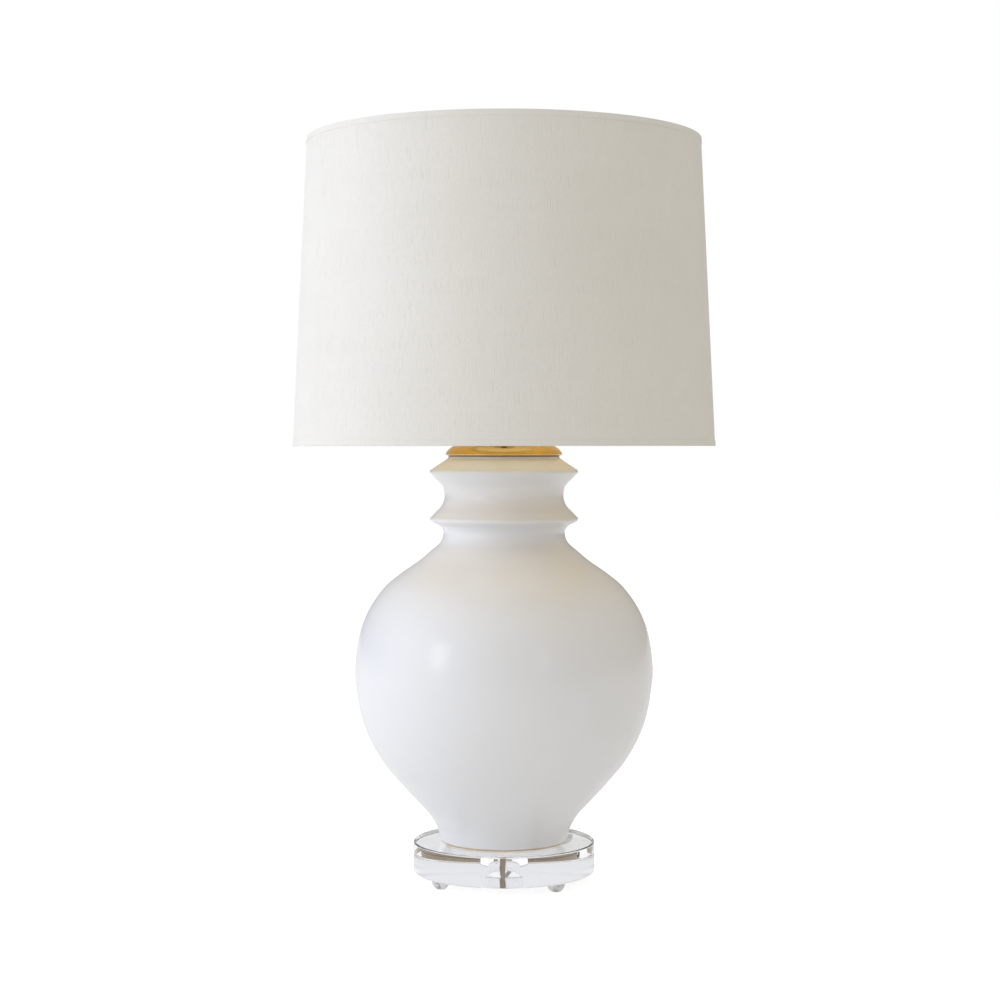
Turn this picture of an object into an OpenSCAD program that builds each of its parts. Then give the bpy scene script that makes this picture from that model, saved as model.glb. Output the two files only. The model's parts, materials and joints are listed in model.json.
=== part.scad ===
/* [Base] */
// Diameter of the clear disc under the vase
disc_d = 163; // [150:1:200]
// Thickness of the clear disc
disc_t = 27; // [20:1:35]
// Diameter of the cord hole through the disc
disc_bore = 29; // [24:1:34]
// Height of the four bumper feet
bumper_h = 8; // [7:0.5:10]
// Diameter of a bumper foot where it meets the disc
bumper_d = 16; // [14:1:18]
// Distance of the bumper feet from the lamp's axis
bumper_r = 72; // [64:1:72]

/* [Vase] */
// Height of the ceramic vase from its foot to its mouth
vase_h = 346.5; // [320:0.5:380]
// Thickness of the vase's wall
wall = 7; // [6:0.5:8]

/* [Pipe and cap] */
// Outer diameter of the threaded lamp pipe
pipe_d = 9.6; // [9.5:0.1:10.2]
// Bore of the lamp pipe
pipe_bore = 6.6; // [6.2:0.1:7]
// Height of the brass vase cap above its rolled edge
cap_h = 15.5; // [12:0.5:20]
// Height of the brass neck on the cap
neck_h = 12; // [8:1:16]

/* [Socket and bulb] */
// Outer diameter of the socket's shell
socket_d = 34; // [33:0.5:36]
// Diameter of the bulb's glass
bulb_d = 60; // [55:1:62]
// Length of the bulb with its screw base
bulb_h = 110; // [104:1:112]

/* [Harp] */
// Distance of a harp leg from the lamp's axis
harp_leg_x = 30.6; // [30:0.2:33]
// Thickness of the harp's wire
harp_wire = 3.6; // [3:0.2:3.6]

/* [Shade] */
// Outer diameter of the shade at its lower edge
shade_bottom_d = 381; // [360:1:410]
// Outer diameter of the shade at its upper edge
shade_top_d = 356; // [330:1:381]
// Height of the shade
shade_h = 276; // [270:1:284]
// Thickness of the stiff inner liner
liner_t = 0.8; // [0.6:0.1:1.2]
// Thickness of the linen outside the liner
linen_t = 0.6; // [0.5:0.1:1]
// Height of the folded trim at each edge
trim_h = 5; // [5:0.5:8]

/* [Finial] */
// Height of the finial above the shade's fitter
finial_h = 31; // [26:1:34]

/* [Cord] */
// Width of the flat twin cord
cord_w = 5.6; // [5:0.2:6]
// Thickness of the flat twin cord
cord_t = 2.8; // [2.4:0.2:3]

/* [Hidden] */
$fn = 96;

// Colours
clear = [0.86, 0.90, 0.92, 0.45];
glaze = [0.93, 0.93, 0.94];
linen = [0.95, 0.93, 0.88];
brass = [0.76, 0.58, 0.27];
steel = [0.62, 0.63, 0.65];
dark = [0.16, 0.15, 0.14];
cord_colour = [0.55, 0.48, 0.38];

// Heights, from the surface that the lamp stands on upwards
disc_z = bumper_h;
vase_z = disc_z + disc_t;
vase_top = vase_z + vase_h;
gasket_t = 0.9;
cap_z = vase_top + gasket_t;
neck_z = cap_z + cap_h;
saddle_z = neck_z + neck_h;
saddle_t = 1.2;
socket_z = saddle_z + saddle_t;
shade_z = cap_z + 8.6;
shade_top = shade_z + shade_h;

// Vase outline: radius and height above the foot, bottom to top, for a vase 346.5 mm high.
// Each list is the stretch between two of the collar's ridges.
k = vase_h / 346.5;
belly = [
    [56, 0], [58.5, 7], [61.2, 14.5], [67.6, 25], [77.6, 36], [88, 47], [98, 58.5], [107.2, 69.5],
    [114.5, 80.5], [120.5, 91.5], [125.2, 102.5], [128.7, 113.5], [131.7, 128], [134, 146],
    [134.3, 157], [132.8, 173], [130, 188], [125.8, 200.5], [120, 212], [113.2, 222],
    [104.5, 232], [91.5, 242.2], [76, 253], [66, 261.5], [60, 266.5], [56.5, 271], [55, 276.5],
    [55.3, 280], [58, 284]
];
collar = [
    [64.6, 293.2], [61.5, 296.6], [58, 300], [55.4, 304], [53.9, 309], [53.9, 314], [55.2, 319.4],
    [58.4, 323.4], [62.6, 327.6]
];
mouth = [[64.2, 335.7], [61, 338], [55.5, 341.6], [51.2, 344.6], [50, 346.5]];
ridge_tip = 67;
ridge_nose = 2.4;
bulge_r = 150 * k;
lower_ridge_z = 290;
upper_ridge_z = 332.8;

// Hollow of a vase with a wall 7 mm thick, from the floor inside it to its mouth
hollow_wall = 7;
hollow = [
    [0, 25.5], [30, 26], [54, 31], [71, 41], [86, 56], [101, 74], [113, 94], [122, 118],
    [127.2, 146], [127.2, 166], [121.5, 190], [110, 212], [93, 230.5], [72, 246.5], [54, 260],
    [47.5, 273], [46.5, 290], [46.5, 318], [45, 346.5]
];
recess_r = 47;
recess_h = 15;
slab_hole = 13;
floor_h = 60;
waist_h = 276.5 * k;

// Pipe, from the bushing in the foot's recess up into the socket's cap
recess_top = vase_z + recess_h * k;
washer_t = 1.6;
washer_r = 19;
nut_t = 3.2;
nut_across = 16.5;
pipe_gap = 0.2;
bushing_h = 7;
bushing_z = recess_top - 13;
pipe_z = bushing_z + 4;
pipe_top = socket_z + 11;

// Socket
shell_t = 0.7;
cap_cup_h = 15;
sleeve_r = socket_d / 2 - shell_t - 0.05;
shell_z = socket_z + 12.6;
core_z = socket_z + 13.5;
knob_gap = 2;
set_screw_z = socket_z + 1.6;
set_screw_d = 2.2;
knob_z = socket_z + 24;
stem_d = 4.4;
core_r = 13.6;
terminal_x = 11.2;
terminal_z = socket_z + 22;
core_top = socket_z + 34;
screw_shell_top = socket_z + 55;
base_z = core_top + 3;
base_r = 12.9;
base_h = 22;
pitch = 3.6;
turns = 4;

// Harp: a straight leg, a bend outwards, a long bow and a top arc that meets at the axis
harp_bottom = saddle_z + 3;
harp_bend_z = saddle_z + 48;
bend_r = 40;
bend_a = 28;
bow_r = 170;
bow_a = 20;
bow_x = harp_leg_x + bend_r - (bend_r + bow_r) * cos(bend_a);
bow_z = harp_bend_z + (bend_r + bow_r) * sin(bend_a);
arch_r = bow_r + bow_x / cos(bow_a);
arch_z = bow_z + (bow_r - arch_r) * sin(bow_a);
harp_top = arch_z + arch_r;
ferrule_z = saddle_z + 4;
ferrule_h = 14;
ferrule_x = harp_leg_x - 0.5;

// Fitter: the shade hangs on the stud, below its own upper edge
seat_z = harp_top + harp_wire / 2;
hub_z = seat_z + 3.2;
hub_t = 1.6;
hub_r = 13;
arm_d = 2.8;
arm_angles = [30, 150, 270];
stud_d = 6.2;
ring_wire = 2.4;
finial_z = hub_z + hub_t + 0.2;
finial_foot_h = 8;

// Radius of the linen's outer face at a height
trim_t = 0.5;
function shade_r(z) =
    shade_bottom_d / 2 - trim_t - (shade_bottom_d - shade_top_d) / 2 * (z - shade_z) / shade_h;
ring_in = linen_t + liner_t + ring_wire / 2 + 0.02;
top_ring_z = shade_top - trim_t - ring_wire / 2 - 0.1;
bottom_ring_z = shade_z + trim_t + ring_wire / 2 + 0.1;
top_ring_r = shade_r(top_ring_z) - ring_in;

// Cord: x, y, z and the turn of its flat side about its own line, 0 flat and 90 on edge
coil_at = [12, 140];
coil_r_out = 36.8;
coil_r_in = 22.4;
coil_h = 11.4;
run = [
    [0, 0, bushing_z, 0], [0, 0, 31, 0], [-0.5, 0, 25, 0], [-1, 0.8, 18.5, 0], [-1.5, 2.7, 13, 0],
    [-1.5, 6, 8.2, 0], [-1, 10.5, 4.6, 0], [0, 16, 2.3, 0], [1.5, 22, 1.4, 0], [4.5, 31, 1.4, 0],
    [9, 42, 1.4, 0], [14.5, 53, 1.4, 0], [20.5, 64, 1.4, 0], [26.5, 75, 1.4, 0],
    [32.5, 86.5, 1.7, 10], [38, 98.5, 2.1, 30], [42.5, 111, 2.8, 60], [45.6, 124, 3, 85],
    [47, 132, 2.8, 90]
];
tail = [
    [4, 174.2, 8.4, 90], [-6, 172.4, 7.6, 75], [-15.5, 168.8, 5.6, 50], [-24.5, 163.4, 3.6, 25],
    [-32.5, 156, 2, 5], [-38, 147.5, 2.1, 0], [-41, 139, 4, 0], [-42, 131, 6.8, 0],
    [-42, 123, 7.5, 0]
];
plug_at = [-42, 126.5, 7.5];

// Points of a smooth curve through a list of points
function spline(p, steps = 4) = [
    for (i = [0 : len(p) - 2], s = [0 : steps - 1])
        let (a = p[max(i - 1, 0)], b = p[i], c = p[i + 1], d = p[min(i + 2, len(p) - 1)], t = s / steps)
            b + t * (c - a) / 2 + t * t * (a - 2.5 * b + 2 * c - d / 2)
                + t * t * t * (1.5 * b - 1.5 * c + d / 2 - a / 2),
    p[len(p) - 1]
];

// Rounded nose of a ridge
function nose(z) = [
    for (a = [-70 : 20 : 70])
        [ridge_tip - ridge_nose + ridge_nose * cos(a), z + ridge_nose * sin(a)]
];

// Closed tube through a list of rings of points
module swept(rings) {
    sides = len(rings[0]);
    last = len(rings) - 1;
    polyhedron(
        points = [for (r = rings) each r],
        faces = [
            [for (j = [0 : sides - 1]) j],
            for (i = [0 : last - 1], j = [0 : sides - 1])
                let (a = i * sides + j, b = i * sides + (j + 1) % sides)
                    each [[a, a + sides, b + sides], [a, b + sides, b]],
            [for (j = [sides - 1 : -1 : 0]) last * sides + j]
        ]
    );
}

// Round wire along points of the plane through the lamp's axis and the X axis
module wire(path, d, sides = 10) {
    last = len(path) - 1;
    swept([
        for (i = [0 : last])
            let (
                step = path[min(i + 1, last)] - path[max(i - 1, 0)],
                out = [step[1], -step[0]] / norm(step)
            ) [
                for (j = [0 : sides - 1])
                    let (u = d / 2 * cos(360 * j / sides), v = d / 2 * sin(360 * j / sides))
                        [path[i][0] + u * out[0], v, path[i][1] + u * out[1]]
            ]
    ]);
}

// Flat side of the cord for a travel direction
function flat_side(t) =
    let (s = cross(t, [0, abs(t[2]), 1 - abs(t[2])])) s / norm(s);

// One ring of the cord's outline at a point of its route
function cord_ring(route, i, sides = 8) =
    let (
        p = [for (q = route) [q[0], q[1], q[2]]],
        step = p[min(i + 1, len(p) - 1)] - p[max(i - 1, 0)],
        t = step / norm(step), s = flat_side(t), n = cross(s, t), turn = route[i][3],
        w = s * cos(turn) + n * sin(turn), h = n * cos(turn) - s * sin(turn)
    ) [
        for (j = [0 : sides - 1])
            let (a = 360 * (j + 0.5) / sides)
                p[i] + (w * cord_w * cos(a) + h * cord_t * sin(a)) / 2 / cos(180 / sides)
    ];

module cord_tube(route) {
    swept([for (i = [0 : len(route) - 1]) cord_ring(route, i)]);
}

// Ring about the lamp's axis, or about another vertical line
module ring(r_out, r_in, z, h) {
    translate([0, 0, z])
        difference() {
            cylinder(r = r_out, h = h);
            translate([0, 0, -1]) cylinder(r = r_in, h = h + 2);
        }
}

// Wire circle about the lamp's axis
module wire_ring(r, z, d) {
    translate([0, 0, z]) rotate_extrude() translate([r, 0]) circle(d = d, $fn = 32);
}

// Conical skin that follows the shade's outer face, between two depths and two heights
module shade_skin(z1, z2, depth, t) {
    rotate_extrude($fn = 180)
        polygon([
            [shade_r(z1) - depth - t, z1], [shade_r(z1) - depth, z1],
            [shade_r(z2) - depth, z2], [shade_r(z2) - depth - t, z2]
        ]);
}

// Folded edge: a channel over the skins and the ring wire, open towards the middle of the shade
module shade_trim(edge, lip) {
    inner = linen_t + liner_t + ring_wire + 0.06;
    in = edge + sign(lip - edge) * trim_t;
    rotate_extrude($fn = 180)
        polygon([
            [shade_r(edge) + trim_t, edge], [shade_r(lip) + trim_t, lip], [shade_r(lip) + 0.01, lip],
            [shade_r(in) + 0.01, in], [shade_r(in) - inner, in], [shade_r(lip) - inner, lip],
            [shade_r(lip) - inner - trim_t, lip], [shade_r(edge) - inner - trim_t, edge]
        ]);
}

module acrylic_disc() {
    edge = 1.2;
    r = disc_d / 2;
    color(clear)
        translate([0, 0, disc_z])
            rotate_extrude()
                polygon([
                    [disc_bore / 2, 0],
                    for (a = [-90 : 22.5 : 0]) [r - edge + edge * cos(a), edge + edge * sin(a)],
                    for (a = [0 : 22.5 : 90]) [r - edge + edge * cos(a), disc_t - edge + edge * sin(a)],
                    [disc_bore / 2, disc_t]
                ]);
}

// Domes with a small flat that rests on the table
module bumper_feet() {
    flat_r = 3;
    first_a = -50.8;
    r = bumper_d / 2;
    centre = (r * r + bumper_h * bumper_h - flat_r * flat_r) / (2 * bumper_h);
    ball = sqrt(flat_r * flat_r + centre * centre);
    color([0.8, 0.82, 0.84])
        for (i = [0 : 3])
            rotate([0, 0, first_a + 90 * i])
                translate([bumper_r, 0, 0])
                    intersection() {
                        translate([0, 0, centre]) sphere(r = ball);
                        cylinder(r = 2 * r, h = bumper_h);
                    }
}

// Ceramic of the vase between two heights above its foot
module vase_wall(from, to) {
    outline = concat(
        spline(belly), nose(lower_ridge_z), spline(collar), nose(upper_ridge_z), spline(mouth)
    );
    inside = spline(hollow, 3);
    thinner = hollow_wall - wall;
    throat_r = inside[len(inside) - 1][0] * k + thinner;
    translate([0, 0, vase_z])
        intersection() {
            difference() {
                rotate_extrude() polygon([[0, 0], for (p = outline) p * k, [0, vase_h]]);
                rotate_extrude()
                    polygon([
                        for (p = inside) [max(p[0] * k + thinner, 0), p[1] * k],
                        [throat_r, vase_h + 1], [0, vase_h + 1]
                    ]);
                translate([0, 0, -1]) cylinder(r = recess_r * k, h = recess_h * k + 1);
                cylinder(d = slab_hole, h = floor_h * k);
            }
            translate([0, 0, from]) cylinder(r = bulge_r, h = to - from);
        }
}

// The vase up to its waist, where the shoulder turns into the collar
module vase_body() {
    color(glaze) vase_wall(0, waist_h);
}

// The same piece of ceramic from its waist up: two ridges, the groove between them and the mouth
module vase_collar() {
    color(glaze) vase_wall(waist_h, vase_h);
}

module bottom_washer() {
    color(steel) ring(washer_r, pipe_d / 2 + pipe_gap, recess_top - washer_t, washer_t);
}

module bottom_nut() {
    color(brass)
        translate([0, 0, recess_top - washer_t - nut_t])
            difference() {
                cylinder(d = nut_across, h = nut_t, $fn = 6);
                translate([0, 0, -1]) cylinder(d = pipe_d, h = nut_t + 2);
            }
}

// Smooth-mouthed bushing on the pipe's lower end, which keeps the cord off the thread
module end_bushing() {
    lip = 1.5;
    r = 7;
    bore = 3.6;
    color(brass)
        translate([0, 0, bushing_z])
            rotate_extrude()
                polygon([
                    for (a = [180 : 30 : 270]) [bore + lip + lip * cos(a), lip + lip * sin(a)],
                    for (a = [-90 : 30 : 0]) [r - lip + lip * cos(a), lip + lip * sin(a)],
                    [r, bushing_h], [pipe_d / 2, bushing_h], [pipe_d / 2, pipe_z - bushing_z],
                    [bore, pipe_z - bushing_z]
                ]);
}

module lamp_pipe() {
    color(steel) ring(pipe_d / 2, pipe_bore / 2, pipe_z, pipe_top - pipe_z);
}

// Twin cord inside the pipe, up to the socket
module inner_cord() {
    color(cord_colour)
        for (side = [-1, 1])
            translate([side * (cord_w - cord_t) / 2, 0, bushing_z])
                cylinder(d = cord_t - 0.02, h = pipe_top + 1.5 - bushing_z, $fn = 24);
}

module cap_gasket() {
    r_out = 50.2 * k;
    r_in = 38 * k;
    color(dark) ring(r_out, r_in, vase_top, gasket_t);
}

// Spun cap with a rolled edge, sloping in and up to a hole for the pipe
module vase_cap() {
    rim = 52.7 * k;
    roll = 1.3;
    sheet = 1;
    turned_in = 6;
    slope = [
        [rim - 0.9, 3.4], [rim - 3.4, 6.2], [rim - 6.5, 8.4], [rim - 14, 10.6], [rim - 26, 12.6],
        [16, cap_h - 1], [12, cap_h], [pipe_d / 2 + pipe_gap, cap_h]
    ];
    dished = 3;
    color(brass)
        translate([0, 0, cap_z])
            rotate_extrude()
                polygon([
                    [rim - turned_in, 0],
                    for (a = [-90 : 22.5 : 45]) [rim - roll + roll * cos(a), roll + roll * sin(a)],
                    for (p = slope) p,
                    for (i = [len(slope) - 1 : -1 : dished]) slope[i] - [0, sheet],
                    [rim - turned_in - sheet, 7.1], [rim - turned_in, 2 * sheet]
                ]);
}

module brass_neck() {
    h = neck_h;
    color(brass)
        translate([0, 0, neck_z])
            rotate_extrude()
                polygon([
                    [pipe_d / 2 + pipe_gap, 0], [12, 0], [12.6, 0.8], [12, 1.8], [9.5, 2.6],
                    [8, 4.2], [7.6, h / 2 + 1], [8.2, h - 2.4], [10.5, h - 1.2], [11, h],
                    [pipe_d / 2 + pipe_gap, h]
                ]);
}

// Strip with two upturned tabs, clamped under the socket
module harp_saddle() {
    strip = 12;
    tab = 5;
    tab_h = 21;
    x = harp_leg_x - harp_wire / 2 - 0.1;
    color(brass)
        difference() {
            union() {
                translate([-x, -strip / 2, saddle_z]) cube([2 * x, strip, saddle_t]);
                for (side = [-1, 1])
                    translate([side * (x - saddle_t / 2) - saddle_t / 2, -tab / 2, saddle_z])
                        cube([saddle_t, tab, tab_h]);
            }
            translate([0, 0, saddle_z - 1]) cylinder(d = pipe_d + 2 * pipe_gap, h = saddle_t + 2);
        }
}

// Cup that screws on the pipe and holds the socket's shell
module socket_cap() {
    r = socket_d / 2;
    color(brass)
        difference() {
            translate([0, 0, socket_z])
                rotate_extrude()
                    polygon([
                        [pipe_d / 2, 0], [8, 0], [8.4, 3], [12, 5.4], [r - 1, 9], [r + 0.8, 12],
                        [r + 0.8, cap_cup_h], [r + 0.05, cap_cup_h], [r + 0.05, 12.4], [r - 2, 9.9],
                        [11.6, 6.4], [8, 5.2], [pipe_d / 2, 5.2]
                    ]);
            translate([0, 0, set_screw_z]) rotate([-90, 0, 0]) cylinder(d = set_screw_d + 0.1, h = r);
        }
}

// Screw through the cap's collar that stops it turning on the pipe
module set_screw() {
    reach = 3.7;
    color(steel)
        translate([0, pipe_d / 2, set_screw_z])
            rotate([-90, 0, 0]) {
                cylinder(d = set_screw_d, h = reach + 0.7, $fn = 24);
                translate([0, 0, reach]) cylinder(d = set_screw_d + 0.4, h = 1.8, $fn = 24);
            }
}

// Hole towards the front for the stem of the switch's knob
module stem_hole(d) {
    translate([0, 0, knob_z]) rotate([90, 0, 0]) cylinder(d = d, h = socket_d, $fn = 48);
}

// Drawn shell with a bead round its mouth
module socket_shell() {
    r = socket_d / 2;
    h = 43.2;
    bead = 0.9;
    color(brass)
        difference() {
            translate([0, 0, shell_z])
                rotate_extrude()
                    polygon([
                        [r - shell_t, 0], [r, 0], [r, h - 5.2], [r + bead, h - 4], [r + bead, h - 1.6],
                        [r + bead / 3, h], [r - shell_t, h]
                    ]);
            stem_hole(stem_d + knob_gap);
        }
}

// Cardboard sleeve between the shell and the live parts
module socket_liner() {
    sleeve_t = 0.9;
    sleeve_h = 42;
    color([0.72, 0.62, 0.46])
        difference() {
            ring(sleeve_r, sleeve_r - sleeve_t, shell_z + 0.4, sleeve_h);
            stem_hole(stem_d + knob_gap);
        }
}

// Moulded block with the switch, its terminals and the seat of the screw shell
module socket_core() {
    color(dark)
        difference() {
            translate([0, 0, core_z]) cylinder(r = core_r, h = core_top - core_z);
            stem_hole(stem_d + 0.12);
            for (side = [-1, 1])
                translate([side * (terminal_x + 2), 0, terminal_z]) cube([4, 10, 12], center = true);
        }
}

module terminal_screws() {
    head_d = 6;
    head_h = 1.8;
    slot = 1;
    color(brass)
        for (side = [-1, 1])
            translate([side * terminal_x, 0, terminal_z])
                rotate([0, 90 * side, 0])
                    difference() {
                        cylinder(d = head_d, h = head_h, $fn = 32);
                        translate([0, 0, head_h]) cube([2 * head_d, slot, head_h], center = true);
                    }
}

// Threaded shell that takes the bulb's base
module screw_shell() {
    crest = 13.7;
    root = 13.3;
    shell = 0.9;
    color([0.80, 0.78, 0.70])
        translate([0, 0, core_top])
            rotate_extrude()
                polygon([
                    [root, 0],
                    for (i = [0 : turns - 1], j = [0, 1])
                        [j == 0 ? root : crest, 1.5 + (i + j / 2) * pitch],
                    [root, 1.5 + turns * pitch], [root, screw_shell_top - core_top],
                    [root + shell, screw_shell_top - core_top], [root + shell, 0]
                ]);
}

// Spring tab at the bottom of the screw shell
module centre_contact() {
    color(brass)
        translate([0, 0, core_top]) {
            translate([-8, -2.5, 0]) cube([10, 5, 0.5]);
            translate([-1.5, -2.5, 0.5]) cube([3, 5, 1.6]);
        }
}

// Turn knob of the switch, on its stem
module switch_knob() {
    stem_in = 9;
    near = socket_d / 2 + 8;
    grip_r = 5.2;
    grip_h = 12;
    flute_d = 1.6;
    color(dark)
        translate([0, 0, knob_z])
            rotate([90, 0, 0]) {
                translate([0, 0, stem_in]) cylinder(d = stem_d, h = near + 1 - stem_in, $fn = 48);
                translate([0, 0, near])
                    difference() {
                        rotate_extrude($fn = 48)
                            polygon([
                                [0, 0], [grip_r - 0.7, 0], [grip_r, 2], [grip_r, grip_h - 1],
                                [grip_r - 0.7, grip_h], [0, grip_h]
                            ]);
                        for (a = [0 : 30 : 330])
                            rotate([0, 0, a])
                                translate([grip_r + flute_d / 4, 0, -1])
                                    cylinder(d = flute_d, h = grip_h + 2, $fn = 16);
                    }
            }
}

// Frosted glass, pear shaped, open at its neck
module bulb_glass() {
    r = bulb_d / 2;
    h = bulb_h - base_h;
    glass_t = 1;
    wide_z = 58;
    pear = [
        [12, 0], [12.6, 8], [15.4, 20], [20.6, 31], [26.4, 42], [r - 0.3, 52], [r, wide_z]
    ];
    dome = [for (a = [8 : 8 : 88]) [r * cos(a), wide_z + (h - wide_z) * sin(a)]];
    color([0.96, 0.96, 0.95])
        translate([0, 0, base_z + base_h])
            difference() {
                rotate_extrude() polygon([[0, 0], for (p = spline(pear)) p, for (p = dome) p, [0, h]]);
                rotate_extrude()
                    polygon([
                        [0, -1], [pear[0][0] - glass_t, -1],
                        for (p = spline(pear)) [p[0] - glass_t, p[1]],
                        for (p = dome)
                            [max(p[0] - glass_t, 0.4), p[1] - glass_t * sin(atan2(p[1] - wide_z, p[0]))],
                        [0, h - glass_t]
                    ]);
            }
}

module bulb_base() {
    cap_t = 0.5;
    color([0.72, 0.72, 0.70])
        translate([0, 0, base_z])
            rotate_extrude()
                polygon([
                    [5, 2.5], [6.5, 2.5], [base_r - 1.4, 5],
                    for (i = [0 : turns - 1], j = [0, 1])
                        [j == 0 ? base_r - 0.9 : base_r, 5.6 + (i + j / 2) * pitch],
                    [base_r - 0.3, 20.6], [base_r + 0.2, 21.4], [base_r + 0.2, 25.4],
                    [base_r - 0.15, 25.4], [base_r - 0.15, base_h], [base_r - 1.4, base_h],
                    [base_r - 1.4, 5.6], [6.3, 2.5 + cap_t], [5, 2.5 + cap_t]
                ]);
}

// Black glass ring round the end contact
module bulb_insulator() {
    color(dark)
        translate([0, 0, base_z])
            rotate_extrude() polygon([[2.6, 0.8], [4.6, 0.8], [6.5, 2.5], [5, 2.5], [5, 4], [2.6, 4]]);
}

module bulb_contact() {
    color([0.75, 0.75, 0.74])
        translate([0, 0, base_z]) {
            cylinder(r = 2.6, h = 4, $fn = 32);
            translate([0, 0, -0.6]) cylinder(r1 = 1.8, r2 = 2.6, h = 0.6, $fn = 32);
        }
}

// Points of an arc, from one angle to another
function arc(x, z, r, from, to, step = 5) =
    let (n = ceil(abs(to - from) / step)) [
        for (i = [0 : n])
            let (a = from + (to - from) * i / n) [x + r * cos(a), z + r * sin(a)]
    ];

module harp_bow() {
    half = [
        [harp_leg_x, harp_bottom],
        for (p = arc(harp_leg_x + bend_r, harp_bend_z, bend_r, 180, 180 - bend_a)) p,
        for (p = arc(bow_x, bow_z, bow_r, 3 - bend_a, bow_a)) p,
        for (p = arc(0, arch_z, arch_r, bow_a + 6, 90, 6)) p
    ];
    other = [for (i = [len(half) - 2 : -1 : 0]) [-half[i][0], half[i][1]]];
    color(brass) wire(concat(half, other), harp_wire);
}

// Seat and threaded stud that take the shade's fitter and the finial
module harp_stud() {
    root_h = 4;
    seat_h = 3;
    thread_h = 15;
    color(brass)
        difference() {
            union() {
                translate([0, 0, seat_z - root_h]) cylinder(d = 8, h = root_h);
                translate([0, 0, seat_z]) cylinder(d = 13, h = seat_h);
                translate([0, 0, seat_z + seat_h]) cylinder(d = stud_d, h = thread_h);
            }
            translate([0, 0, arch_z])
                rotate([90, 0, 0])
                    rotate_extrude() translate([arch_r, 0]) circle(d = harp_wire + 0.06, $fn = 32);
        }
}

module ferrule(side) {
    translate([side * ferrule_x, 0, ferrule_z])
        rotate_extrude()
            polygon([
                [3.9, 0], [4.4, 0], [4.8, 0.5], [4.8, 1.4], [4.5, 1.9], [4.5, ferrule_h - 1],
                [4.1, ferrule_h], [3.9, ferrule_h]
            ]);
}

module left_ferrule() {
    color(brass) ferrule(-1);
}

module right_ferrule() {
    color(brass) ferrule(1);
}

module spider_hub() {
    color(brass) ring(hub_r, stud_d / 2 + 0.35, hub_z, hub_t);
}

// Three arms from the hub, level and then up to the upper ring
module spider_arms() {
    level = hub_z + hub_t / 2;
    climb = top_ring_z - level;
    slope = 18;
    bend = 20;
    knee = top_ring_r - climb / tan(slope) - bend * tan(slope / 2);
    path = [
        [11, level], for (p = arc(knee, level + bend, bend, -90, slope - 90, 4)) p,
        [top_ring_r - 0.3, top_ring_z]
    ];
    color(brass)
        difference() {
            for (a = arm_angles) rotate([0, 0, a]) wire(path, arm_d);
            wire_ring(top_ring_r, top_ring_z, ring_wire + 0.02);
            shade_skin(top_ring_z - 8, shade_top + 5, linen_t - 2, liner_t + 3);
            ring(hub_r, 2, hub_z - 2, hub_t + 4);
        }
}

module top_ring() {
    color(brass) wire_ring(top_ring_r, top_ring_z, ring_wire);
}

module bottom_ring() {
    color(steel) wire_ring(shade_r(bottom_ring_z) - ring_in, bottom_ring_z, ring_wire);
}

module shade_liner() {
    color([0.97, 0.97, 0.95]) shade_skin(shade_z + trim_t, shade_top - trim_t, linen_t, liner_t);
}

module shade_linen() {
    color(linen) shade_skin(shade_z + trim_t, shade_top - trim_t, 0, linen_t);
}

// Folded edge with a notch in its inner lip for each arm of the fitter
module top_trim() {
    notch = 4;
    lip_r = top_ring_r - ring_wire / 2 - 0.01;
    color(linen)
        difference() {
            shade_trim(shade_top, shade_top - trim_h);
            for (a = arm_angles)
                rotate([0, 0, a])
                    translate([lip_r - notch, -notch / 2, shade_top - trim_h - 1])
                        cube([notch, notch, trim_h - trim_t + 1]);
        }
}

module bottom_trim() {
    color(linen) shade_trim(shade_z, shade_z + trim_h);
}

// Threaded foot of the finial
module finial_base() {
    color(brass)
        translate([0, 0, finial_z])
            rotate_extrude()
                polygon([
                    [stud_d / 2 + 0.05, 0], [6.6, 0], [7.2, 0.8], [6.8, 1.8], [5.2, 2.6], [4.6, 5],
                    [4.9, finial_foot_h], [stud_d / 2 + 0.05, finial_foot_h]
                ]);
}

module finial_knob() {
    ball_r = 8.4;
    top = finial_h - ball_r;
    neck_r = 3.6;
    cone_h = 4;
    color(brass)
        translate([0, 0, finial_z])
            difference() {
                union() {
                    translate([0, 0, top]) sphere(r = ball_r);
                    translate([0, 0, finial_foot_h]) cylinder(r1 = 4.9, r2 = neck_r, h = cone_h);
                    translate([0, 0, finial_foot_h]) cylinder(r = neck_r, h = top - finial_foot_h);
                }
                translate([0, 0, finial_foot_h - 1]) cylinder(d = stud_d + 0.1, h = 8);
            }
}

module cord_run() {
    color(cord_colour) cord_tube(run);
}

module cord_coil() {
    color(cord_colour)
        translate([coil_at[0], coil_at[1], 0]) ring(coil_r_out, coil_r_in, 0, coil_h);
}

module cord_tail() {
    color(cord_colour) cord_tube(tail);
}

// Strap round the coil's turns
module cord_tie() {
    strap = 0.8;
    width = 9;
    depth = coil_r_out - coil_r_in;
    color(dark)
        translate([coil_at[0], coil_at[1], 0])
            rotate([0, 0, 215])
                translate([coil_r_in - strap, -width / 2, 0])
                    difference() {
                        cube([depth + 2 * strap, width, coil_h + strap]);
                        translate([strap, -1, strap]) cube([depth, width + 2, coil_h - strap]);
                    }
}

// Moulded plug, lying with its blades pointing at the lamp
module plug_body() {
    half_w = 12;
    half_h = 4.5;
    corner = 3;
    back = -15;
    front = -27;
    neck = 1.8;
    color(cord_colour)
        translate(plug_at)
            hull() {
                for (x = [-1, 1], y = [front, back], z = [-half_h, half_h])
                    translate([x * (half_w - corner), y, z]) sphere(r = corner, $fn = 24);
                for (x = [-4, 4])
                    translate([x, -neck, 0]) sphere(r = neck, $fn = 24);
            }
}

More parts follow.
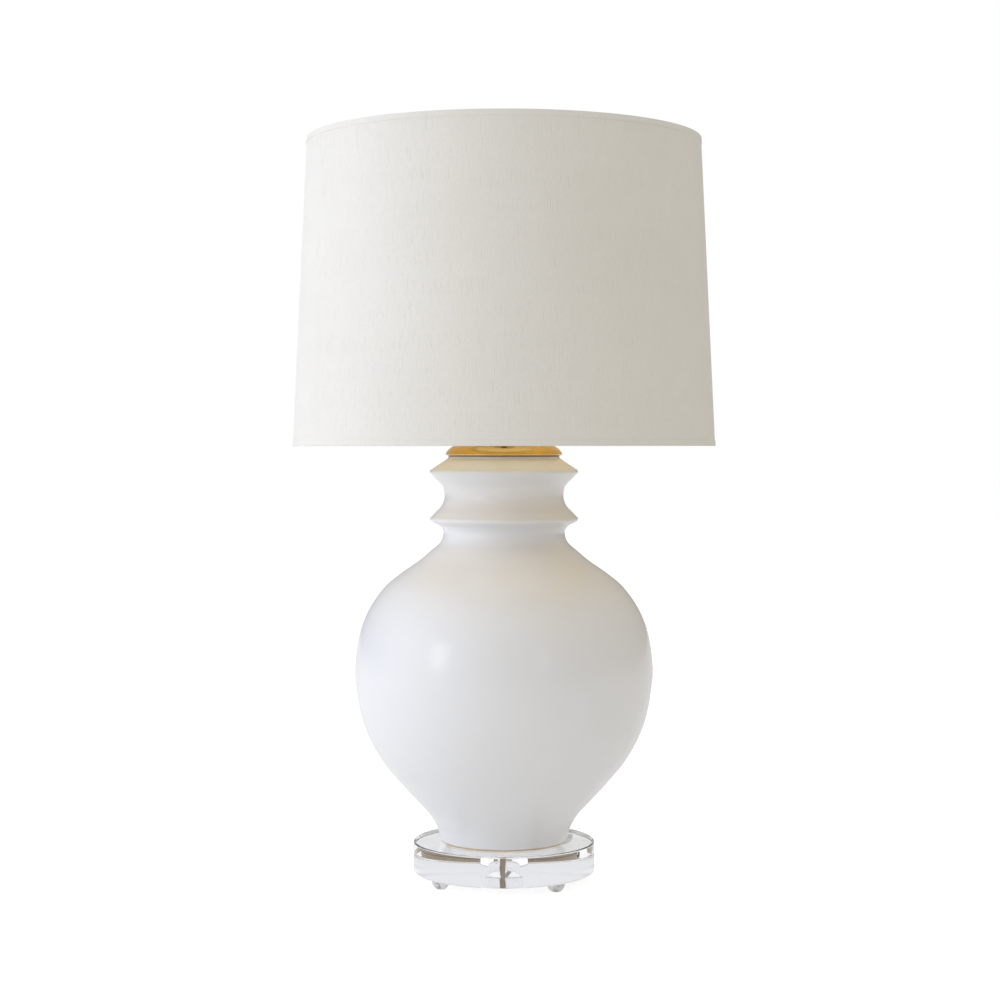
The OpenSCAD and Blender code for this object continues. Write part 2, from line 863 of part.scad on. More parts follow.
module plug_blades() {
    blade = [1.5, 17, 6.4];
    pitch = 12.7;
    face = 30;
    hole_d = 3;
    hole_in = 3.5;
    color(brass)
        for (side = [-1, 1])
            translate(plug_at + [side * pitch / 2 - blade[0] / 2, -face - blade[1], -blade[2] / 2])
                difference() {
                    cube(blade);
                    translate([-1, hole_in, blade[2] / 2])
                        rotate([0, 90, 0]) cylinder(d = hole_d, h = blade[0] + 2, $fn = 24);
                }
}

acrylic_disc();
bumper_feet();
vase_body();
vase_collar();
bottom_washer();
bottom_nut();
end_bushing();
lamp_pipe();
inner_cord();
cap_gasket();
vase_cap();
brass_neck();
harp_saddle();
socket_cap();
set_screw();
socket_shell();
socket_liner();
socket_core();
terminal_screws();
screw_shell();
centre_contact();
switch_knob();
bulb_glass();
bulb_base();
bulb_insulator();
bulb_contact();
harp_bow();
harp_stud();
left_ferrule();
right_ferrule();
spider_hub();
spider_arms();
top_ring();
bottom_ring();
shade_liner();
shade_linen();
top_trim();
bottom_trim();
finial_base();
finial_knob();
cord_run();
cord_coil();
cord_tail();
cord_tie();
plug_body();
plug_blades();
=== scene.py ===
import bpy, json, math
from mathutils import Matrix, Vector, noise


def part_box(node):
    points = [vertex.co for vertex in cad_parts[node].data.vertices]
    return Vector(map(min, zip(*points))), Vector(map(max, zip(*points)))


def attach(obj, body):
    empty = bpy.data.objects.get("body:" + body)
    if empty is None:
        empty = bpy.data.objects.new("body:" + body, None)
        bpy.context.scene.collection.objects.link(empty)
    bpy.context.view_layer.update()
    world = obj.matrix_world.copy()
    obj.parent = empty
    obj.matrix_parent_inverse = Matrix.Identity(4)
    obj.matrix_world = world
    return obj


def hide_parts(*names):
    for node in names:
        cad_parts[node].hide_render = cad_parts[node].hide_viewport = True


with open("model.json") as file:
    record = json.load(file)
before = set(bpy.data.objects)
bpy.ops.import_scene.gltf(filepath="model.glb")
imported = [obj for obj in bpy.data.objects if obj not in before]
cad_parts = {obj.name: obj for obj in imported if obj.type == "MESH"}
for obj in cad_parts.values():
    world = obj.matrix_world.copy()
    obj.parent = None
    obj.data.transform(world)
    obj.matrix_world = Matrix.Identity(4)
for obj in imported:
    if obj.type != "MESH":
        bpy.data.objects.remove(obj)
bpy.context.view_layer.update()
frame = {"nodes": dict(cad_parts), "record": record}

MM = 0.001
TAU = 2 * math.pi
NODES = frame["nodes"]
UP = Vector((0, 0, 1))


# ---------------------------------------------------------------- shader nodes

def node(tree, kind, ins=None, **props):
    """One shader node; ins holds its inputs, each a socket to link or a value to set."""
    made = tree.nodes.new("ShaderNode" + kind)
    for key, value in props.items():
        setattr(made, key, value)
    for key, value in (ins or {}).items():
        if isinstance(value, bpy.types.NodeSocket):
            tree.links.new(value, made.inputs[key])
        else:
            made.inputs[key].default_value = value
    return made


def maths(tree, op, a, b=0.0):
    return node(tree, "Math", {0: a, 1: b}, operation=op).outputs[0]


def remap(tree, value, low, high, to_low, to_high, smooth=False):
    """value from low..high to to_low..to_high, clamped."""
    span = {"Value": value, "From Min": low, "From Max": high, "To Min": to_low, "To Max": to_high}
    kind = "SMOOTHSTEP" if smooth else "LINEAR"
    return node(tree, "MapRange", span, interpolation_type=kind).outputs["Result"]


def blend(tree, factor, a, b):
    """Colour a where factor is 0 and b where it is 1."""
    made = node(tree, "Mix", data_type="RGBA")
    for socket, value in zip([made.inputs[0], made.inputs[6], made.inputs[7]], [factor, a, b]):
        if isinstance(value, bpy.types.NodeSocket):
            tree.links.new(value, socket)
        else:
            socket.default_value = value if isinstance(value, float) else (*value, 1)
    return made.outputs[2]


class Finish:
    """A material with one Principled shader and the coordinates that its textures use."""

    def __init__(self, name, **constants):
        self.material = bpy.data.materials.new(name)
        self.material.use_nodes = True
        self.tree = self.material.node_tree
        self.tree.nodes.clear()
        out = node(self.tree, "OutputMaterial")
        self.shader = node(self.tree, "BsdfPrincipled")
        self.tree.links.new(self.shader.outputs[0], out.inputs["Surface"])
        for key, value in constants.items():
            socket = self.shader.inputs[key.replace("_", " ")]
            socket.default_value = (*value, 1) if isinstance(value, tuple) else value
        self.place = node(self.tree, "TexCoord").outputs["Object"]

    def xyz(self):
        parts = node(self.tree, "SeparateXYZ", {0: self.place}).outputs
        return parts[0], parts[1], parts[2]

    def stretched(self, scale):
        """The object's own coordinates, scaled along each axis."""
        return node(self.tree, "Mapping", {"Vector": self.place, "Scale": scale}).outputs[0]

    def unrolled(self, radius):
        """Distance round the vertical axis, in metres, and height; the cut is at the back."""
        x, y, z = self.xyz()
        angle = maths(self.tree, "ARCTAN2", x, maths(self.tree, "MULTIPLY", y, -1.0))
        return maths(self.tree, "MULTIPLY", angle, radius), z

    def noise(self, scale, detail=3.0, rough=0.5, vector=None):
        made = node(self.tree, "TexNoise", {"Vector": vector or self.place, "Scale": scale,
                                            "Detail": detail, "Roughness": rough})
        return made.outputs["Fac"]

    def feed(self, socket, value):
        self.tree.links.new(value, self.shader.inputs[socket])

    def bump(self, height, distance, strength=1.0, below=None):
        ins = {"Height": height, "Distance": distance, "Strength": strength}
        if below:
            ins["Normal"] = below
        normal = node(self.tree, "Bump", ins).outputs[0]
        self.tree.links.new(normal, self.shader.inputs["Normal"])
        return normal


# ---------------------------------------------------------------- materials

VASE_FOOT = 35 * MM      # height of the disc's top, which the vase stands on
BARE = 1.6 * MM          # height of the unglazed rim above it


def glaze():
    """Satin-gloss white glaze, faintly uneven in tone, that stops short of the unglazed foot."""
    f = Finish("white_glaze", IOR=1.5, Coat_Weight=0.65, Coat_Roughness=0.17, Coat_IOR=1.5)
    t = f.tree
    pools = remap(t, f.noise(9, 3), 0.3, 0.7, 0, 1)
    body = blend(t, pools, (0.805, 0.805, 0.812), (0.82, 0.821, 0.828))
    edge = maths(t, "ADD", f.xyz()[2], maths(t, "MULTIPLY", f.noise(60, 2), 0.0012))
    bare = remap(t, edge, VASE_FOOT + BARE, VASE_FOOT + 1.5 * BARE, 1, 0, True)
    f.feed("Base Color", blend(t, bare, body, (0.56, 0.39, 0.25)))
    gloss = remap(t, f.noise(30, 3), 0.3, 0.7, 0.36, 0.44)
    f.feed("Roughness", maths(t, "MAXIMUM", gloss, maths(t, "MULTIPLY", bare, 0.85)))
    waves = f.bump(f.noise(26, 2, 0.4), 0.0005, 0.35)
    f.bump(f.noise(260, 2), 0.00004, 0.3, waves)
    return f.material


def brass():
    """Polished and lacquered brass with spun rings, faint tarnish and small rubbed patches."""
    f = Finish("satin_brass", Metallic=1.0, Coat_Weight=0.25, Coat_Roughness=0.08)
    t = f.tree
    tarnish = remap(t, f.noise(38, 4, 0.6), 0.35, 0.72, 0, 1)
    tone = blend(t, tarnish, (0.80, 0.52, 0.15), (0.68, 0.42, 0.11))
    dust = remap(t, f.noise(700, 2), 0.62, 0.75, 0, 0.2)
    f.feed("Base Color", blend(t, dust, tone, (0.84, 0.66, 0.34)))
    rings = f.noise(1.0, 3, 0.6, f.stretched((60, 60, 3200)))
    f.feed("Roughness", remap(t, rings, 0.25, 0.75, 0.14, 0.27))
    f.bump(rings, 0.00002, 0.35)
    return f.material


def steel():
    """Zinc plating with a fine drawn grain."""
    f = Finish("plated_steel", Metallic=1.0)
    t = f.tree
    grain = f.noise(1.0, 4, 0.6, f.stretched((1500, 1500, 220)))
    f.feed("Base Color", blend(t, f.noise(70, 3), (0.52, 0.53, 0.55), (0.68, 0.68, 0.66)))
    f.feed("Roughness", remap(t, grain, 0.3, 0.7, 0.28, 0.46))
    f.bump(grain, 0.00004, 0.4)
    return f.material


def acrylic():
    """Clear polished acrylic with hairline scratches and a little dust in the polish."""
    f = Finish("clear_acrylic", Base_Color=(0.97, 0.975, 0.985), Transmission_Weight=1.0, IOR=1.49)
    t = f.tree
    hairs = f.noise(1.0, 2, 0.7, f.stretched((900, 60, 900)))
    haze = maths(t, "MULTIPLY", remap(t, f.noise(30, 4), 0.45, 0.8, 0, 1), 0.03)
    f.feed("Roughness", maths(t, "ADD", remap(t, hairs, 0.66, 0.78, 0.0, 0.05), haze))
    f.bump(f.noise(55, 1), 0.0002, 0.12)
    return f.material


def bumper():
    """Soft clear polyurethane, a little milky."""
    f = Finish("clear_bumper", Base_Color=(0.97, 0.96, 0.94), Transmission_Weight=0.7, IOR=1.46)
    t = f.tree
    f.feed("Roughness", remap(t, f.noise(240, 3), 0.3, 0.7, 0.03, 0.14))
    f.bump(f.noise(500, 2), 0.00008, 0.4)
    return f.material


SHADE_RADIUS = 186 * MM    # of the shade, a little below its middle
THREAD = 0.62 * MM         # from thread to thread of the linen


def linen():
    """Plain weave with slubs that run down the shade, and a few across it."""
    f = Finish("linen", Sheen_Weight=0.12, Sheen_Roughness=0.5, Specular_IOR_Level=0.2)
    t = f.tree
    u, v = f.unrolled(SHADE_RADIUS)
    flat = node(t, "CombineXYZ", {0: u, 1: v}).outputs[0]

    def streaks(across, along, low, high):
        made = node(t, "Mapping", {"Vector": flat, "Scale": (across, along, 1)}).outputs[0]
        return remap(t, f.noise(1.0, 2, 0.6, made), low, high, 0, 1, True)

    down = streaks(1900, 110, 0.50, 0.72)
    thin = streaks(2400, 200, 0.28, 0.48)
    level = streaks(90, 1700, 0.58, 0.78)
    long_slubs = streaks(1300, 45, 0.60, 0.74)
    gaps = maths(t, "SUBTRACT", 1.0, thin)
    cloud = remap(t, f.noise(14, 3), 0.3, 0.7, 0, 1)
    cloth = blend(t, cloud, (0.81, 0.785, 0.72), (0.835, 0.81, 0.75))
    for mask, share, colour in [(down, 0.55, (0.87, 0.865, 0.85)), (gaps, 0.30, (0.70, 0.675, 0.63)),
                                (level, 0.25, (0.88, 0.87, 0.85)), (long_slubs, 0.4, (0.74, 0.715, 0.66))]:
        cloth = blend(t, maths(t, "MULTIPLY", mask, share), cloth, colour)
    f.feed("Base Color", cloth)
    warp = maths(t, "SINE", maths(t, "MULTIPLY", u, math.pi / THREAD))
    weft = maths(t, "SINE", maths(t, "MULTIPLY", v, math.pi / THREAD))
    over = remap(t, maths(t, "MULTIPLY", warp, weft), -1, 1, 0, 1)
    f.feed("Roughness", remap(t, over, 0, 1, 0.72, 0.90))
    raised = maths(t, "ADD", maths(t, "MULTIPLY", down, 0.8), maths(t, "MULTIPLY", long_slubs, 1.2))
    raised = maths(t, "ADD", raised, maths(t, "MULTIPLY", level, 0.5))
    threads = f.bump(over, 0.00010, 0.7)
    f.bump(raised, 0.00012, 0.8, threads)
    return f.material


def liner():
    """White styrene painted cream, with a faint orange-peel. The cream is painted warm light: it stands in
    for the warm glow inside the shade and warms the light thrown back on the vase's collar.
    """
    f = Finish("white_liner", Specular_IOR_Level=0.35)
    t = f.tree
    # painted warm light: cream in place of the styrene's white, for the warm glow inside the shade
    f.feed("Base Color", blend(t, f.noise(20, 3), (0.86, 0.79, 0.66), (0.88, 0.82, 0.70)))
    f.feed("Roughness", remap(t, f.noise(160, 3), 0.3, 0.7, 0.42, 0.58))
    f.bump(f.noise(700, 2), 0.00005, 0.5)
    return f.material


def frosted():
    """White frosted glass of the bulb."""
    f = Finish("frosted_glass", Transmission_Weight=0.35, IOR=1.5, Coat_Weight=0.3,
               Subsurface_Weight=0.2, Subsurface_Scale=0.004)
    t = f.tree
    f.feed("Base Color", blend(t, f.noise(40, 3), (0.88, 0.88, 0.86), (0.93, 0.93, 0.92)))
    f.feed("Roughness", remap(t, f.noise(1500, 2), 0.3, 0.7, 0.32, 0.50))
    f.bump(f.noise(1800, 2), 0.00002, 0.4)
    return f.material


def thread_metal(name="thread_shell", dark=(0.60, 0.58, 0.52), light=(0.76, 0.74, 0.69)):
    """Thin bright metal with marks round it from its drawing."""
    f = Finish(name, Metallic=1.0)
    t = f.tree
    drawn = f.noise(1.0, 3, 0.6, f.stretched((160, 160, 2400)))
    f.feed("Base Color", blend(t, f.noise(90, 4), dark, light))
    f.feed("Roughness", remap(t, drawn, 0.3, 0.7, 0.24, 0.42))
    f.bump(drawn, 0.00003, 0.4)
    return f.material


def moulded(name, dark, light, low, high, scale=260.0):
    """Moulded part: mottled colour, fine grain, and a roughness from low to high that follows it."""
    f = Finish(name)
    t = f.tree
    f.feed("Base Color", blend(t, f.noise(55, 3), dark, light))
    grain = f.noise(scale, 4, 0.6)
    f.feed("Roughness", remap(t, grain, 0.3, 0.7, low, high))
    f.bump(grain, 0.00005, 0.6)
    return f.material


def cord_skin():
    """Clear gold vinyl; the copper under it shows as a fine mottle."""
    f = Finish("clear_gold_cord", Coat_Weight=0.7, Coat_Roughness=0.12, Specular_IOR_Level=0.5)
    t = f.tree
    strands = f.noise(1.0, 3, 0.6, f.stretched((900, 900, 900)))
    tone = blend(t, remap(t, strands, 0.3, 0.7, 0, 1), (0.30, 0.20, 0.10), (0.48, 0.36, 0.20))
    patches = remap(t, f.noise(60, 2), 0.3, 0.7, 0, 0.5)
    f.feed("Base Color", blend(t, patches, tone, (0.40, 0.31, 0.20)))
    f.feed("Roughness", remap(t, f.noise(300, 3), 0.3, 0.7, 0.28, 0.42))
    f.bump(f.noise(420, 3), 0.00006, 0.5)
    return f.material


def strap_weave():
    """Woven nap of a hook-and-loop strap."""
    f = Finish("tie_strap", Sheen_Weight=0.3, Sheen_Roughness=0.5)
    t = f.tree
    loops = node(t, "TexVoronoi", {"Vector": f.place, "Scale": 1500.0}).outputs["Distance"]
    depth = remap(t, loops, 0.1, 0.8, 0, 1)
    f.feed("Base Color", blend(t, depth, (0.035, 0.035, 0.04), (0.012, 0.012, 0.013)))
    f.feed("Roughness", remap(t, f.noise(800, 2), 0.3, 0.7, 0.75, 0.95))
    f.bump(loops, 0.0002, 0.8)
    return f.material


FINISHES = {
    "clear_acrylic": acrylic(), "clear_bumper": bumper(), "white_glaze": glaze(),
    "satin_brass": brass(), "plated_steel": steel(), "linen": linen(), "white_liner": liner(),
    "frosted_glass": frosted(), "thread_shell": thread_metal(), "clear_gold_cord": cord_skin(),
    "tie_strap": strap_weave(),
    "solder": thread_metal("solder", (0.36, 0.36, 0.35), (0.50, 0.50, 0.48)),
    "nickel_blades": thread_metal("nickel_blades", (0.62, 0.53, 0.36), (0.76, 0.69, 0.52)),
    # black_rubber is painted mid grey, lighter than the rubber is: its own dark tone plus painted sheen for
    # the pale line of light along the cap's gasket
    "black_rubber": moulded("black_rubber", (0.15, 0.142, 0.15), (0.20, 0.19, 0.20), 0.6, 0.8),
    "fibre_sleeve": moulded("fibre_sleeve", (0.42, 0.31, 0.19), (0.52, 0.41, 0.27), 0.8, 0.95, 900.0),
    "black_phenolic": moulded("black_phenolic", (0.012, 0.012, 0.013), (0.022, 0.021, 0.020), 0.2, 0.36),
    "black_glass": moulded("black_glass", (0.006, 0.006, 0.008), (0.012, 0.012, 0.015), 0.05, 0.12),
}
SLOTS = {p["node"]: p["material_slot"] for p in frame["record"]["subparts"]}
BODIES = {n: b for b, names in frame["record"]["behaviour"]["bodies"].items() for n in names}


# ---------------------------------------------------------------- meshes

def piece(name, points, faces, nodes, smooth=40.0):
    """A new mesh piece in the place of CAD nodes: it takes their body and their material slot.
    Edges that bend by more than smooth degrees stay sharp."""
    mesh = bpy.data.meshes.new(name)
    mesh.from_pydata([tuple(p) for p in points], [], faces)
    mesh.validate()
    mesh.update()
    mesh.shade_smooth()
    mesh.set_sharp_from_angle(angle=math.radians(smooth))
    made = bpy.data.objects.new(name, mesh)
    bpy.context.scene.collection.objects.link(made)
    slot = SLOTS[nodes[0]]
    mesh.materials.append(FINISHES[slot])
    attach(made, BODIES[nodes[0]])
    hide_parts(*nodes)
    return made


def catmull(points, steps):
    """Smooth curve through points, with the ends kept; each point may have any number of parts."""
    out = []
    last = len(points) - 1
    for i in range(last):
        a, b, c, d = (Vector(points[min(max(j, 0), last)]) for j in (i - 1, i, i + 1, i + 2))
        for s in range(steps):
            t = s / steps
            out.append(b + t * (c - a) / 2 + t * t * (a - 2.5 * b + 2 * c - d / 2)
                       + t * t * t * (1.5 * b - 1.5 * c + d / 2 - a / 2))
    return out + [Vector(points[-1])]


def section(*nodes):
    """Outline of turned CAD nodes where they cross the XZ plane, at x > 0, as one chain of (r, z),
    and whether it is closed. An edge that two of the nodes share is left out."""
    links = {}
    for name in nodes:
        mesh = NODES[name].data
        at = {v.index: (round(v.co.x, 6), round(v.co.z, 6)) for v in mesh.vertices
              if abs(v.co.y) < 2e-6 and v.co.x > -2e-6}
        mine = {frozenset((at[a], at[b])) for a, b in (e.vertices for e in mesh.edges)
                if a in at and b in at and at[a] != at[b]}
        for edge in mine:
            links[edge] = links.get(edge, 0) + 1
    near = {}
    for a, b in (tuple(e) for e, count in links.items() if count == 1):
        near.setdefault(a, []).append(b)
        near.setdefault(b, []).append(a)
    ends = sorted(p for p in near if len(near[p]) == 1)
    start = ends[0] if ends else min(near, key=lambda p: (p[1], p[0]))
    chain, last = [start], None
    while True:
        ahead = [p for p in sorted(near[chain[-1]]) if p != last and p not in chain[1:]]
        if not ahead or (ahead[0] == start and len(ahead) == 1):
            break
        last = chain[-1]
        chain.append(next(p for p in ahead if p != start))
    return [Vector(p) for p in chain], not ends


def rounded(chain, closed, radius, least=24.0, steps=4):
    """The chain with each corner sharper than least degrees turned into a small arc."""
    out, n = [], len(chain)
    for i, p in enumerate(chain):
        if not closed and i in (0, n - 1):
            out.append(p)
            continue
        a, b = chain[i - 1] - p, chain[(i + 1) % n] - p
        turn = math.pi - a.angle(b, math.pi)
        if math.degrees(turn) < least:
            out.append(p)
            continue
        cut = min(radius * math.tan(turn / 2), a.length * 0.4, b.length * 0.4)
        start, end = p + a.normalized() * cut, p + b.normalized() * cut
        if a.length > 4 * cut:
            out.append(p + a.normalized() * cut * 1.6)
        for s in range(steps + 1):
            t = s / steps
            out.append((1 - t) ** 2 * start + 2 * t * (1 - t) * p + t * t * end)
        if b.length > 4 * cut:
            out.append(p + b.normalized() * cut * 1.6)
    return out


def braced(chain, closed):
    """The chain with a point near each end of a segment that is far longer than its neighbour,
    so that smooth shading keeps the long face straight."""
    out, n = [], len(chain)
    for i in range(n if closed else n - 1):
        p, q = chain[i], chain[(i + 1) % n]
        length = (q - p).length
        before = (p - chain[i - 1]).length if closed or i else length
        after = (chain[(i + 2) % n] - q).length if closed or i < n - 2 else length
        out.append(p)
        if length > 4 * before:
            out.append(p + (q - p) * before / length)
        if length > 4 * after:
            out.append(q - (q - p) * after / length)
    return out if closed else out + [chain[-1]]


def revolve(chain, closed, sides, shape=None):
    """Points and faces of a chain of (r, z) turned about the vertical axis. shape moves a point."""
    points, faces, rows = [], [], []
    for r, z in chain:
        if r < 1e-6:
            rows.append([len(points)] * sides)
            points.append(Vector((0, 0, z)))
            continue
        rows.append(list(range(len(points), len(points) + sides)))
        for j in range(sides):
            angle = TAU * j / sides
            rr, zz = shape(angle, r, z) if shape else (r, z)
            points.append(Vector((rr * math.cos(angle), rr * math.sin(angle), zz)))
    area = sum(a[0] * b[1] - b[0] * a[1] for a, b in zip(chain, chain[1:] + chain[:1]))
    for i in range(len(rows) if closed else len(rows) - 1):
        low, high = rows[i], rows[(i + 1) % len(rows)]
        for j in range(sides):
            k = (j + 1) % sides
            face = list(dict.fromkeys([low[j], low[k], high[k], high[j]]))
            if len(face) > 2:
                faces.append(face if area > 0 else face[::-1])
    return points, faces


def turned(name, nodes, round_off=0.3, sides=128, shape=None):
    """Lathe of CAD nodes' own outline, with its corners rounded by round_off mm."""
    chain, closed = section(*nodes)
    outline = braced(rounded(chain, closed, round_off * MM), closed)
    points, faces = revolve(outline, closed, sides, shape)
    return piece(name, points, faces, list(nodes))


def frames(path):
    """Directions along a path and one steady side direction for each point."""
    last = len(path) - 1
    ahead = [(path[min(i + 1, last)] - path[max(i - 1, 0)]).normalized() for i in range(last + 1)]
    first = ahead[0].cross(UP)
    side = [(first if first.length > 0.1 else ahead[0].cross(Vector((0, 1, 0)))).normalized()]
    for t in ahead[1:]:
        side.append((side[-1] - t * side[-1].dot(t)).normalized())
    return ahead, side


def loft(rings, capped=True):
    """Points and faces of a tube through rings with the same number of points."""
    count, faces = len(rings[0]), []
    for i in range(len(rings) - 1):
        low, high = i * count, (i + 1) * count
        for j in range(count):
            k = (j + 1) % count
            faces.append([low + j, low + k, high + k, high + j])
    if capped:
        faces += [list(range(count))[::-1], [(len(rings) - 1) * count + j for j in range(count)]]
    return [p for ring in rings for p in ring], faces


def wire(path, radius, sides=20, dome=0.35):
    """Round wire along a path, with softly rounded ends."""
    ahead, side = frames(path)
    rings = []
    for i, (p, t, s) in enumerate(zip(path, ahead, side)):
        up = t.cross(s)
        angles = [TAU * j / sides for j in range(sides)]
        ring = [p + (s * math.cos(a) + up * math.sin(a)) * radius for a in angles]
        ends = {0: -1, len(path) - 1: 1}
        if i in ends:
            small = [p + (q - p) * (1 - dome) for q in ring]
            inner = [q - t * ends[i] * radius * dome for q in ring]
            rings += [small, inner] if i == 0 else [inner, small]
        else:
            rings.append(ring)
    return loft(rings)


def joined(parts):
    """Several point and face lists as one."""
    points, faces = [], []
    for p, f in parts:
        faces += [[i + len(points) for i in face] for face in f]
        points += p
    return points, faces


def softened(node_name, width):
    """A new piece with the shape of a CAD node and its edges bevelled by width mm."""
    mesh = NODES[node_name].data
    made = piece(node_name + "_shaped", [v.co for v in mesh.vertices],
                 [list(p.vertices) for p in mesh.polygons], [node_name])
    weld = made.modifiers.new("weld", "WELD")
    weld.merge_threshold = 1e-6
    plane = made.modifiers.new("planar", "DECIMATE")
    plane.decimate_type, plane.angle_limit = "DISSOLVE", math.radians(1)
    bevel = made.modifiers.new("bevel", "BEVEL")
    bevel.width, bevel.segments, bevel.limit_method = width * MM, 3, "ANGLE"
    bevel.angle_limit = math.radians(28)
    bevel.harden_normals = True
    dg = bpy.context.evaluated_depsgraph_get()
    final = bpy.data.meshes.new_from_object(made.evaluated_get(dg))
    made.modifiers.clear()
    made.data = final
    return made


# ---------------------------------------------------------------- camera and cord

CAMERA_AT = (-0.0036, -1.84, 0.391)
LENS, SENSOR, SHIFT = 73.2, 36, -0.054
camera_data = bpy.data.cameras.new("camera")
camera_data.lens, camera_data.sensor_width, camera_data.shift_y = LENS, SENSOR, SHIFT
camera = bpy.data.objects.new("camera", camera_data)
camera.location, camera.rotation_euler = CAMERA_AT, (math.pi / 2, 0, 0)
bpy.context.scene.collection.objects.link(camera)
bpy.context.scene.camera = camera

# Cord, in mm: each point is x, y, z and the turn of the flat lead about its own run, in degrees
CORD_W, CORD_T = 5.6, 2.8
COIL_AT = (12, 140)
RUN = [
    [0, 0, 37, 0], [0, 0, 31, 0], [-0.5, 0, 25, 0], [-1, 0.8, 18.5, 0], [-1.5, 2.7, 13, 0],
    [-1.5, 6, 8.2, 0], [-1, 10.5, 4.6, 0], [0, 16, 2.3, 0], [1.5, 22, 1.4, 0], [4.5, 31, 1.4, 0],
    [9, 42, 1.4, 0], [14.5, 53, 1.4, 0], [20.5, 64, 1.4, 0], [26.5, 75, 1.4, 0],
    [32.5, 86.5, 1.7, 10], [38, 98.5, 2.1, 30], [42.5, 111, 2.8, 60], [45.6, 124, 3, 85],
    [47, 132, 2.8, 90],
]
TAIL = [
    [4, 174.2, 8.4, 90], [-6, 172.4, 7.6, 75], [-15.5, 168.8, 5.6, 50], [-24.5, 163.4, 3.6, 25],
    [-32.5, 156, 2, 5], [-38, 147.5, 2.1, 0], [-41, 139, 4, 0], [-42, 131, 6.8, 0],
    [-42, 123, 7.5, 0],
]
TURNS_IN, TURNS_UP, TURNS_OUT = 4.2, 0.2, 3.9225
COIL_STEPS = 36      # points in each turn


def coil():
    """Spiral in on the lower layer, a step up, and out again on the upper layer."""
    first, last = Vector(RUN[-1][:2]) - Vector(COIL_AT), Vector(TAIL[0][:2]) - Vector(COIL_AT)
    start, inside = math.atan2(first.y, first.x), first.length - CORD_T * TURNS_IN
    total = TURNS_IN + TURNS_UP + TURNS_OUT
    out = []
    for i in range(1, int(total * COIL_STEPS)):
        turn = i / COIL_STEPS
        if turn < TURNS_IN:
            r, z = first.length - CORD_T * turn, RUN[-1][2]
        elif turn < TURNS_IN + TURNS_UP:
            s = (turn - TURNS_IN) / TURNS_UP
            r, z = inside, RUN[-1][2] + (TAIL[0][2] - RUN[-1][2]) * s * s * (3 - 2 * s)
        else:
            s = (turn - TURNS_IN - TURNS_UP) / TURNS_OUT
            r, z = inside + (last.length - inside) * s, TAIL[0][2]
        angle = start + TAU * turn
        out.append([COIL_AT[0] + r * math.cos(angle), COIL_AT[1] + r * math.sin(angle), z, 90])
    return out


def cord_section(steps=14, reach=118):
    """Outline of the twin cord: two round leads that meet in a groove reach degrees from their tips."""
    half, lobe = (CORD_W - CORD_T) / 2, CORD_T / 2
    angles = [math.radians(reach * (2 * i / steps - 1)) for i in range(steps + 1)]
    right = [(half + lobe * math.cos(a), lobe * math.sin(a)) for a in angles]
    return right + [(-x, -y) for x, y in right]


def cord_tube(route):
    """The cord's outline carried along its route, turned as the route says."""
    outline, rings, last = cord_section(), [], len(route) - 1
    centre = [Vector(p[:3]) for p in route]
    for i, (x, y, z, turn) in enumerate(route):
        t = (centre[min(i + 1, last)] - centre[max(i - 1, 0)]).normalized()
        side = t.cross(Vector((0, abs(t.z), 1 - abs(t.z)))).normalized()
        flat, a = side.cross(t), math.radians(turn)
        w, h = side * math.cos(a) + flat * math.sin(a), flat * math.cos(a) - side * math.sin(a)
        rings.append([(centre[i] + w * u + h * v) * MM for u, v in outline])
    return loft(rings)


route = [list(p) for p in catmull(RUN, 3)[:-1]] + [RUN[-1]] + coil()
route += [list(p) for p in catmull(TAIL, 4)]
cord = piece("power_cord", *cord_tube(route), ["cord_run", "cord_coil", "cord_tail"], smooth=70)


def superellipse(y, half_w, half_h, power, centre, count=48):
    """One ring of the plug, across the Y axis."""
    ring = []
    for j in range(count):
        c, s = math.cos(TAU * j / count), math.sin(TAU * j / count)
        x = math.copysign(abs(c) ** (2 / power), c) * half_w
        z = math.copysign(abs(s) ** (2 / power), s) * half_h
        ring.append(Vector((centre[0] + x, y, centre[2] + z)) * MM)
    return ring


PLUG_AT = (-42, 126.5, 7.5)      # where the cord goes into the plug
PLUG_LENGTH = 30


def plug():
    """Moulded plug: a waisted grip with ribs, and a segmented strain relief behind it.
    Each row is the distance from the face, half the width and height, and the corners' power."""
    rows = [[0, 10.4, 6.0, 5], [0.5, 11.4, 7.0, 5], [1.5, 11.9, 7.4, 5], [3.5, 11.9, 7.4, 4.5]]
    for i in range(5):
        y, waist = 5 + i * 2.1, 11.6 - 0.42 * i
        rows += [[y, waist, 7.2, 4], [y + 0.5, waist - 0.55, 6.75, 4],
                 [y + 1.1, waist - 0.55, 6.7, 4], [y + 1.6, waist - 0.05, 7.1, 4]]
    rows += [[16, 9.2, 6.4, 3.4], [17.5, 8.0, 5.6, 3], [19, 6.4, 4.4, 2.6], [20.2, 5.2, 3.5, 2.4]]
    for i in range(4):
        y, w, h = 21 + i * 2.3, 4.7 - 0.22 * i, 3.0 - 0.2 * i
        rows += [[y, w, h, 2.4], [y + 1.2, w, h, 2.4], [y + 1.45, w - 0.75, h - 0.65, 2.4],
                 [y + 2.05, w - 0.75, h - 0.65, 2.4]]
    rows += [[PLUG_LENGTH, 3.6, 2.1, 2.3]]
    front = PLUG_AT[1] - PLUG_LENGTH
    return loft([superellipse(front + y, w, h, p, PLUG_AT) for y, w, h, p in rows])


plug_piece = piece("plug_moulding", *plug(), ["plug_body"], smooth=50)


